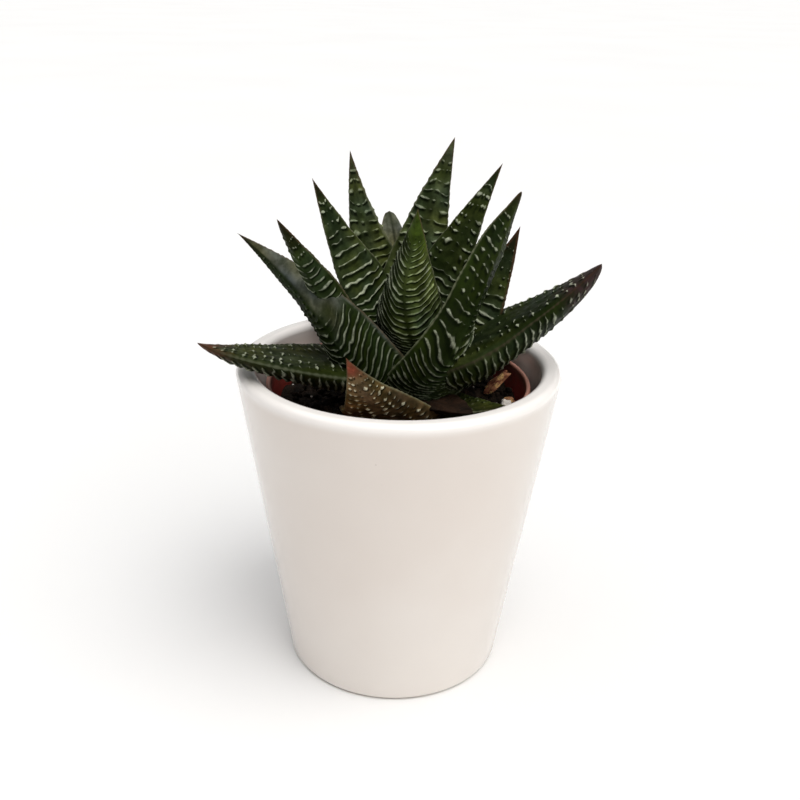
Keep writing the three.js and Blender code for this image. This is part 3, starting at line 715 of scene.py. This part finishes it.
def ridge_fields(leaf, seed, s, u, is_back, half, wide, reach):
    """The ridges' running count, how strongly a ridge stands at each point, how far along the leaf
    it lies and how far from the margin."""
    rows = s[:, None]
    further_up = smooth(rows, *BASE_GIVES_WAY)
    length = np.linalg.norm(np.diff(leaf_frame(leaf, s)[0], axis=0), axis=1)
    run = running(length)
    sag = np.where(is_back, leaf["sag"], UPPER_FACE_SAG) * half * (1 - u * u)
    sag = sag * np.minimum(1, 5 * rows)
    sag = sag * (1 - leaf["straighten"] * further_up)
    shifted = np.where(is_back, 0, UPPER_FACE_SHIFT)
    wobble = (0.32 * noise(wide / 3.4 + shifted, run / 4.2, seed)
              + 0.17 * noise(wide / 1.2 + shifted, run / 1.9, seed + 3))
    growth = PITCH_AT_ROOT + PITCH_GAIN * rows
    pitch = leaf["step"] * growth
    wider = pitch * (1 + (leaf["coarse_left"] - 1) * further_up)
    left = is_back & (u < 0)
    count = np.where(left, running(length / wider[1:, 0]), running(length / pitch[1:, 0]))
    pitch = np.where(left, wider, pitch)
    phase = count + sag / pitch + wobble * leaf["wobble"] + FIRST_COUNT
    index = np.floor(phase) + shifted
    from_edge = reach - np.abs(wide)
    # Bars: broken at the keel, thinned at random, and stopping just short of the margins
    chance = lattice(index, np.sign(wide) * 3, seed + 5)
    keel_gap = np.where(is_back, 1 - 0.8 * np.exp(-(wide / 0.45) ** 2),
                        1 - 0.25 * np.exp(-(wide / 0.6) ** 2))
    thin = (0.35 * noise(wide / 1.9, index * 5.3, seed + 7)
            + 0.3 * noise(wide / 0.8, index * 7.1, seed + 15))
    bars = leaf["line"] * (0.97 + leaf["broken"] * thin) * keel_gap
    bars = bars * smooth(from_edge, 0.1 + 0.8 * chance, 0.9 + 0.8 * chance)
    bars = bars * np.where(left, leaf["step"] / pitch * growth, 1) ** 0.6
    # Dots: three columns a side on the back, two and one down the middle on the upper face
    dots = np.zeros_like(wide)
    for column, at in enumerate(DOT_COLUMNS):
        weight = np.where(is_back, 0, 0.8) if at == 0 else np.where(is_back, 1.0, abs(at) > 0.3)
        jitter = 0.12 * (lattice(index, column + 11, seed) - 0.5)
        bold = 0.4 + 0.95 * lattice(index, column + 23, seed)
        stretch = leaf["dot"] * (0.75 + 1.1 * lattice(index, column + 41, seed) ** 2)
        stretch = stretch * np.clip(reach / 6, 0.4, 1)
        dots += weight * bold * np.exp(-((wide - (at + jitter) * reach) / stretch) ** 2)
    dots = leaf["bold"] * np.minimum(dots, 1.25)
    until = np.where(is_back, *leaf["bars"])
    dotty = smooth(rows + 0.05 * noise(wide / 3, run / 5, seed + 13), until - 0.1, until + 0.08)
    strength = bars * (1 - dotty) + dots * dotty
    fade = leaf["fade"] + (0.95 - leaf["fade"]) * rough_side(leaf, u, is_back)
    strength = strength * (1 - smooth(rows, fade - 0.1, fade)) * smooth(run, 0.5, 2.5)
    right = np.where(is_back, smooth(u, 0.0, 0.3), 0)
    strength = strength * (1 - leaf["plain_right"] * right * smooth(rows, 0.4, 0.6))
    return phase, strength, run, from_edge


def leaf_tint(leaf, seed, s, u, is_back, run, wide):
    """The leaf's ground colour: green, yellower on young leaves, greyer on smooth faces, and of its
    own colour at the point."""
    rows = s[:, None]
    drift = 0.5 + 0.5 * noise(run / 9, wide / 6, seed + 19)
    colour = blend(np.array(DEEP_GREEN), MID_GREEN, drift)
    lime = leaf["young"] * (0.25 + 0.45 * smooth(rows, 0.2, 0.75))
    lime = lime * (0.5 + 0.5 * u * leaf["lime_side"])
    colour = blend(colour, LIME_GREEN, np.clip(lime, 0, 1))
    greyed = np.where(is_back, 0, leaf["grey_face"]) * smooth(rows, 0.05, 0.3)
    greyed = greyed * (0.85 + 0.15 * noise(run / 3, wide / 2, seed + 23))
    colour = blend(colour, FACE_GREY, np.clip(greyed, 0, 1))
    start = leaf["grey_from"]
    ragged = rows + 0.08 * noise(run / 3, wide / 3, seed + 27)
    greyed = 0.8 * smooth(ragged, start - 0.12, start + 0.12)
    greyed = greyed * np.where(is_back, 1, 0.4) * (1 - rough_side(leaf, u, is_back))
    colour = blend(colour, FACE_GREY, greyed)
    low, high = leaf["bloom"]
    bloomed = low + (high - low) * smooth(rows, 0.1, 0.6)
    bloomed = bloomed * (0.8 + 0.6 * noise(run / 3.4, wide / 2.1, seed + 33))
    bloomed = bloomed * (1 + 0.6 * leaf["bloom_side"] * u)
    colour = blend(colour, BLOOM_GREEN, np.clip(bloomed, 0, 1))
    colour = colour * np.where(is_back[:, None], leaf["back_tint"], 1)
    colour = colour * (1 - leaf["dark"])
    browned = leaf["brown"] * (0.8 + 0.2 * noise(run / 4, wide / 3, seed + 31))
    browned = browned * (1 - 0.45 * smooth(u, 0, 0.8))
    colour = blend(colour, OLIVE_BROWN, browned)
    warm = noise(run / 6.5, wide / 3.2, seed + 41)
    light = 1 + 0.3 * noise(run / 3.1, wide / 2.2, seed + 43)
    light = light + leaf["streak"] * noise(run / 9, wide / 0.95, seed + 47)
    colour = colour * np.stack([light * (1 + 0.14 * warm), light * (1 + 0.04 * warm),
                                light * (1 - 0.4 * warm)], axis=-1)
    colour = colour * (1 - leaf["midline"] * np.exp(-(wide / 0.4) ** 2))[..., None]
    colour = colour * (1 - leaf["shade_left"] * smooth(-u, -0.1, 0.7))[:, None]
    start = leaf["point_from"]
    ragged = rows + 0.06 * noise(run / 3, wide / 2.5, seed + 29)
    return blend(colour, POINTS[leaf["point"]], smooth(ragged, start - 0.1, start + 0.1))


def ridged_skin(leaf, seed, s, u, is_back, half, wide, reach):
    """Relief in millimetres of a living leaf, and what its material reads."""
    rows = s[:, None]
    phase, ridge, run, from_edge = ridge_fields(leaf, seed, s, u, is_back, half, wide, reach)
    crest = np.exp(-((phase % 1 - 0.5) / CREST_WIDTH) ** 2) * np.clip(ridge, 0, 1.2)
    near = np.exp(-(from_edge / leaf["margin"]) ** 2)
    beat = run / TOOTH_STEP + 0.55 * noise(run / 2.6, 0, seed + 2) + 0.2 * np.sign(wide)
    teeth = 0.35 + 0.65 * lattice(np.floor(beat), np.sign(wide), seed + 6)
    teeth = (0.5 + 0.5 * np.cos(2 * math.pi * beat)) * teeth
    edge = near * (0.4 + 0.6 * teeth)
    swell = SWELL_HEIGHT * noise(run / 3.5, wide / 3.5, seed + 37)
    ends = np.minimum(1, 3 * (1 - rows))
    height = RIDGE_HEIGHT * crest * ends + leaf["teeth"] * edge * ends + swell * ends

    pale = np.where(is_back, *leaf["pale"])
    pale = pale * (1 - 0.6 * rough_side(leaf, u, is_back) * smooth(rows, 0.45, 0.6))
    grown = smooth(rows, 0.15, 0.5)
    pale = pale * (leaf["base_pale"] * (1 - grown) + 1.1 * grown)

    tint = leaf_tint(leaf, seed, s, u, is_back, run, wide)
    worn = smooth(rows, leaf["point_from"] - 0.2, leaf["point_from"] + 0.1) * np.ones_like(wide)
    brown = (leaf["rust"] + (1 - leaf["rust"]) * (0.85 * worn))[..., None]
    edge_tint = np.array(MARGIN_PALE) * (1 - brown) + np.array(MARGIN_RUST) * brown
    share = 0.28 + 0.32 * leaf["young"]
    return height, {
        "phase": phase, "ridge": ridge, "edge": near * (0.7 + 0.3 * teeth), "pale": pale,
        "tint": tint, "edge_tint": edge_tint * leaf["margin_light"],
        "crest_tint": np.array(CREST) * (1 - share) + 3.6 * tint * share}


def crumpled_relief(seed, s, u, half):
    """Relief in millimetres of a dried leaf."""
    rows = s[:, None]
    run = rows * 20
    wide = u * half
    height = 0.35 * noise(wide / 0.9, run / 6, seed) + 0.5 * noise(wide / 3, run / 4, seed + 4)
    return height * np.minimum(1, 3 * (1 - rows))


def with_ends(values):
    """The rings' values as one list, with the first and the last again for the end points."""
    flat = values.reshape(-1, values.shape[-1]) if values.ndim == 3 else values.reshape(-1)
    return np.concatenate([flat[:1], flat, flat[-1:]])


def leaf_slot(leaf):
    if not leaf["step"]:
        return "dried_leaf"
    return "young_leaf" if leaf["name"].startswith("heart") else "leaf"


def build_leaf(leaf, seed, material):
    rings, on_upper, on_back = LOW_MESH if leaf["low"] else (leaf["rings"], *FINE_AROUND)
    s = np.linspace(0, leaf["last"], rings)
    places, u, is_back, half = leaf_places(leaf, s, on_upper, on_back)
    centre, along = leaf_frame(leaf, s)[:2]
    if leaf["step"]:
        wide, reach = girth_places(places, on_upper)
        height, looks = ridged_skin(leaf, seed, s, u, is_back, half, wide, reach)
    else:
        height, looks = crumpled_relief(seed, s, u, half), {}
    places = places + outward_normals(places, centre) * height[..., None]
    root_end = centre[0] - ROOT_OVERHANG * along[0]
    places = np.concatenate([[root_end], places.reshape(-1, 3), [leaf["tip"]]])
    piece(leaf["name"] + "_skin", places, skin_faces(rings, on_upper + on_back), [material],
          leaf["name"], leaf_slot(leaf), {key: with_ends(look) for key, look in looks.items()})


# Pots


def ceramic_profile():
    slope = (POT_RIM_RADIUS - POT_BASE_RADIUS) / POT_HEIGHT
    well_radius = POT_BASE_RADIUS + slope * POT_FLOOR - POT_WALL
    lip_z = POT_HEIGHT - LIP_ROUND
    inner_radius = POT_RIM_RADIUS - POT_WALL
    foot = arc(POT_BASE_RADIUS - FOOT_ROUND, FOOT_ROUND, FOOT_ROUND, -90, -POT_LEAN, 8)
    outer_lip = arc(POT_RIM_RADIUS - LIP_ROUND, lip_z, LIP_ROUND, -POT_LEAN, 90, 14)
    inner_lip = arc(inner_radius + LIP_ROUND, lip_z, LIP_ROUND, 90, 180 + POT_LEAN, 14)
    well = arc(well_radius - WELL_ROUND, POT_FLOOR + WELL_ROUND, WELL_ROUND, -POT_LEAN, -90, 8)
    underside = [(0, 0)] + line((0, 0), foot[0], 5)
    outer_wall = line(foot[-1], outer_lip[0], 28)
    inner_wall = line(inner_lip[-1], well[0], 24)
    floor = line(well[-1], (0, POT_FLOOR), 5) + [(0, POT_FLOOR)]
    return underside + foot + outer_wall + outer_lip + inner_lip + inner_wall + well + floor


def nursery_wall_radius(z):
    part = (z - NURSERY_BASE_Z) / (NURSERY_RIM_Z - NURSERY_BAND_HEIGHT - NURSERY_BASE_Z)
    return NURSERY_BASE_RADIUS + (NURSERY_NECK_RADIUS - NURSERY_BASE_RADIUS) * min(part, 1)


def nursery_profile():
    band_z = NURSERY_RIM_Z - NURSERY_BAND_HEIGHT
    floor_z = NURSERY_BASE_Z + NURSERY_FLOOR
    outside = [(NURSERY_BASE_RADIUS - 1, NURSERY_BASE_Z), (NURSERY_BASE_RADIUS, NURSERY_BASE_Z + 1),
               (NURSERY_NECK_RADIUS, band_z), (NURSERY_BAND_RADIUS, band_z + 0.6)]
    lip = arc(NURSERY_BAND_RADIUS - NURSERY_LIP_ROUND, NURSERY_RIM_Z - NURSERY_LIP_ROUND,
              NURSERY_LIP_ROUND, 0, 180, 8)
    inside = [(NURSERY_BAND_RADIUS - NURSERY_WALL - 0.3, band_z),
              (NURSERY_NECK_RADIUS - NURSERY_WALL, band_z - 1.5),
              (nursery_wall_radius(floor_z) - NURSERY_WALL, floor_z)]
    points = [(0, NURSERY_BASE_Z)]
    for corner in outside + lip + inside:
        if math.dist(points[-1], corner) > LONGEST_SIDE:
            points += line(points[-1], corner, 8)
        points.append(corner)
    return points + [(0, floor_z)]


def cut_drain_holes(pot):
    for i in range(DRAIN_HOLES):
        a = 2 * math.pi * i / DRAIN_HOLES
        cutter_mesh = bpy.data.meshes.new("drain_cutter")
        bm = bmesh.new()
        bmesh.ops.create_cone(bm, cap_ends=True, segments=32, radius1=DRAIN_RADIUS * MM,
                              radius2=DRAIN_RADIUS * MM, depth=NURSERY_FLOOR * 3 * MM)
        bm.to_mesh(cutter_mesh)
        bm.free()
        cutter = add_object("drain_cutter", cutter_mesh)
        cutter.location = Vector((DRAIN_CIRCLE_RADIUS * math.cos(a),
                                  DRAIN_CIRCLE_RADIUS * math.sin(a),
                                  NURSERY_BASE_Z + NURSERY_FLOOR / 2)) * MM
        modifier = pot.modifiers.new("hole", "BOOLEAN")
        modifier.operation = "DIFFERENCE"
        modifier.solver = "EXACT"
        modifier.object = cutter
        with bpy.context.temp_override(object=pot, active_object=pot, selected_objects=[pot]):
            bpy.ops.object.modifier_apply(modifier=modifier.name)
        bpy.data.objects.remove(cutter)
        bpy.data.meshes.remove(cutter_mesh)


# Soil and loose bits


def soil_radius(z):
    return nursery_wall_radius(z) - NURSERY_WALL - SOIL_GAP


def soil_surface(x, y):
    """Height of the soil: the solid's mound and bumps, and grains that only the scene has."""
    from_stem = np.hypot(x - STEM_X, y - STEM_Y)
    bumps = np.sin(0.9 * x + 1.3) * np.cos(1.1 * y) + 0.8 * np.sin(0.53 * x - 0.74 * y + 2)
    mound = SOIL_MOUND * np.exp(-((from_stem / SOIL_MOUND_RADIUS) ** 2))
    height = SOIL_Z - 0.8 + mound + SOIL_ROUGHNESS * bumps
    grains = 0.42 * noise(x / 1.5, y / 1.5, 3) + 0.24 * noise(x / 0.62, y / 0.62, 5)
    return np.minimum(height, SOIL_TOP_Z) + grains


def crumb(rng, at, size, subdivisions, seed):
    """Places and faces of one irregular crumb."""
    places, faces = ball(subdivisions)
    places = places * (1 + CRUMB_DENT * noise3(places * 1.7, seed))[:, None]
    places = places * (1 + 0.4 * CRUMB_DENT * noise3(places * 4.5, seed + 1))[:, None]
    places = places * np.asarray(size)
    angle, axis = rng.uniform(0, 6.28), Vector(rng.normal(size=3)).normalized()
    turn = np.array(Matrix.Rotation(angle, 3, axis))
    return places @ turn.T + np.asarray(at), faces


def build_soil(peat, grit):
    """The bed and its crumbs in one mesh. Some of the crumbs are pale grains of grit."""
    rng = np.random.default_rng(7)
    floor_z = NURSERY_BASE_Z + NURSERY_FLOOR + SOIL_GAP
    top_radius = soil_radius(NURSERY_RIM_Z - NURSERY_BAND_HEIGHT - 1.6) - 0.2
    turns = np.arange(SOIL_SEGMENTS) * 2 * math.pi / SOIL_SEGMENTS
    circles = []
    for r, z in ((soil_radius(floor_z) - 1, floor_z), (soil_radius(floor_z), floor_z + 1)):
        flat = np.full(SOIL_SEGMENTS, z)
        circles.append(np.stack([r * np.cos(turns), r * np.sin(turns), flat], axis=1))
    for i in range(SOIL_RINGS):
        r = top_radius * (1 - i / SOIL_RINGS)
        x, y = r * np.cos(turns), r * np.sin(turns)
        circles.append(np.stack([x, y, soil_surface(x, y)], axis=1))
    top = [0, 0, float(soil_surface(np.array(0.0), np.array(0.0)))]
    places = [np.concatenate([[[0, 0, floor_z]], np.concatenate(circles), [top]])]
    faces = skin_faces(len(circles), SOIL_SEGMENTS)
    slots = [0] * len(faces)
    count = len(places[0])
    for i in range(CRUMBS):
        r = top_radius * math.sqrt(rng.uniform(0.05, 0.97))
        a = rng.uniform(0, 2 * math.pi)
        x, y = r * math.cos(a), r * math.sin(a)
        is_grit = i % GRIT_EVERY == 0
        size = rng.uniform(0.18, 0.42, 3) if is_grit else rng.uniform(0.35, 1.15, 3)
        if r + size.max() > top_radius:
            continue
        z = float(soil_surface(np.array(x), np.array(y))) + 0.2 * size.min()
        more, its_faces = crumb(rng, (x, y, z), size, 1 if is_grit else 2, i)
        places.append(more)
        faces += [tuple(k + count for k in f) for f in its_faces]
        slots += [int(is_grit)] * len(its_faces)
        count += len(more)
    piece("soil_bed", np.concatenate(places), faces, [peat, grit], "soil", "soil",
          face_slots=slots)


def build_bit(bit, seed, slot, material):
    places, faces = ball(5)
    turn = math.radians(bit["turn"])
    x, y, z = places.T
    dent = 1 + 0.16 * np.sin(4 * x + turn) * np.cos(3 * y + 2 * z)
    if slot == "bark":
        flakes = 0.10 * noise(z * 5, y * 1.4, seed) + 0.05 * noise3(places * 6, seed)
    else:
        flakes = 0.09 * noise3(places * 2.6, seed) + 0.06 * noise3(places * 7, seed + 2)
    places = places * (dent + flakes)[:, None] * np.array(bit["size"])
    tilt = Matrix.Rotation(math.radians(bit["tilt"]), 3, "Y")
    around = Matrix.Rotation(turn, 3, "Z") @ tilt
    places = places @ np.array(around).T + np.array(bit["at"])
    piece(bit["name"] + "_rough", places, faces, [material], bit["name"], slot)


# Assembly

glaze = glaze_material()
plastic = plastic_material()
peat = soil_material()
skin = leaf_material()
dried = dried_material()
perlite = perlite_material()
bark = bark_material()

piece("ceramic_pot_glazed", *lathe(ceramic_profile(), POT_SEGMENTS), [glaze], "ceramic_pot",
      "white_glaze")
nursery = piece("nursery_pot_moulded", *lathe(nursery_profile(), NURSERY_SEGMENTS), [plastic],
                "nursery_pot", "terracotta_plastic")
cut_drain_holes(nursery)
build_soil(peat, perlite)
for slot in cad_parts["stem_and_roots"].material_slots:
    slot.material = stem_material()
for number, leaf in enumerate(LEAVES):
    build_leaf(leaf, 10 * number + 1, skin if leaf["step"] else dried)
for number, bit in enumerate(BITS):
    kind = bit["name"].split("_")[0]
    build_bit(bit, 5 * number + 2, kind, bark if kind == "bark" else perlite)


# Floor, light and camera


def add_floor():
    n = Nodes("studio_floor", Roughness=0.9, Specular_IOR_Level=0.1)
    n.finish(n.mix(n.range(n.noise(3, 2), 0.3, 0.7), *FLOOR))
    r = FLOOR_REACH
    mesh = bpy.data.meshes.new("floor")
    mesh.from_pydata([(-r, -r, 0), (r, -r, 0), (r, r, 0), (-r, r, 0)], [], [(0, 1, 2, 3)])
    mesh.materials.append(n.material)
    add_object("floor", mesh)


def add_softbox(name, at, look_at, size, power, colour):
    data = bpy.data.lights.new(name, "AREA")
    data.shape = "SQUARE"
    data.size = size
    data.energy = power
    data.color = colour
    lamp = add_object(name, data)
    lamp.location = at
    lamp.rotation_euler = (Vector(look_at) - Vector(at)).to_track_quat("-Z", "Y").to_euler()


def add_sun(name, toward, strength, spread, colour):
    """Wide soft light from far away, so that the floor is lit evenly. spread: in degrees."""
    data = bpy.data.lights.new(name, "SUN")
    data.energy = strength
    data.angle = math.radians(spread)
    data.color = colour
    lamp = add_object(name, data)
    lamp.rotation_euler = Vector(toward).to_track_quat("Z", "Y").to_euler()


def add_world():
    world = bpy.data.worlds.new("studio")
    world.use_nodes = True
    sockets = world.node_tree.nodes["Background"].inputs
    sockets["Color"].default_value = (1, 1, 1, 1)
    sockets["Strength"].default_value = WORLD_STRENGTH
    bpy.context.scene.world = world


def add_camera():
    """The photograph's view: from close by and above, and turned a little about its own axis."""
    elevation = math.radians(CAMERA_ELEVATION)
    roll = math.radians(CAMERA_ROLL)
    back = Vector((0, -math.cos(elevation), math.sin(elevation)))
    right = Vector((1, 0, 0))
    up = Vector((0, math.sin(elevation), math.cos(elevation)))
    turned_right = right * math.cos(roll) + up * math.sin(roll)
    turned_up = up * math.cos(roll) - right * math.sin(roll)
    data = bpy.data.cameras.new("camera")
    data.lens = CAMERA_LENS
    data.sensor_width = 36
    data.clip_start = 0.01
    data.clip_end = 20
    camera = add_object("camera", data)
    matrix = Matrix((turned_right, turned_up, back)).transposed().to_4x4()
    matrix.translation = Vector(CAMERA_LOOKS_AT) + back * CAMERA_DISTANCE
    camera.matrix_world = matrix
    bpy.context.scene.camera = camera


add_floor()
add_sun("key", toward=(0.40, -0.38, 0.84), strength=1.9, spread=56, colour=(1.0, 0.98, 0.95))
add_sun("top", toward=(-0.10, -0.06, 0.99), strength=1.2, spread=80, colour=(1.0, 1.0, 1.0))
add_softbox("front", at=(0.45, -0.75, 0.5), look_at=(0, 0, 0.05), size=0.5, power=0.35,
            colour=(1.0, 0.97, 0.94))
add_world()
bpy.context.scene.view_settings.view_transform = "Standard"
add_camera()
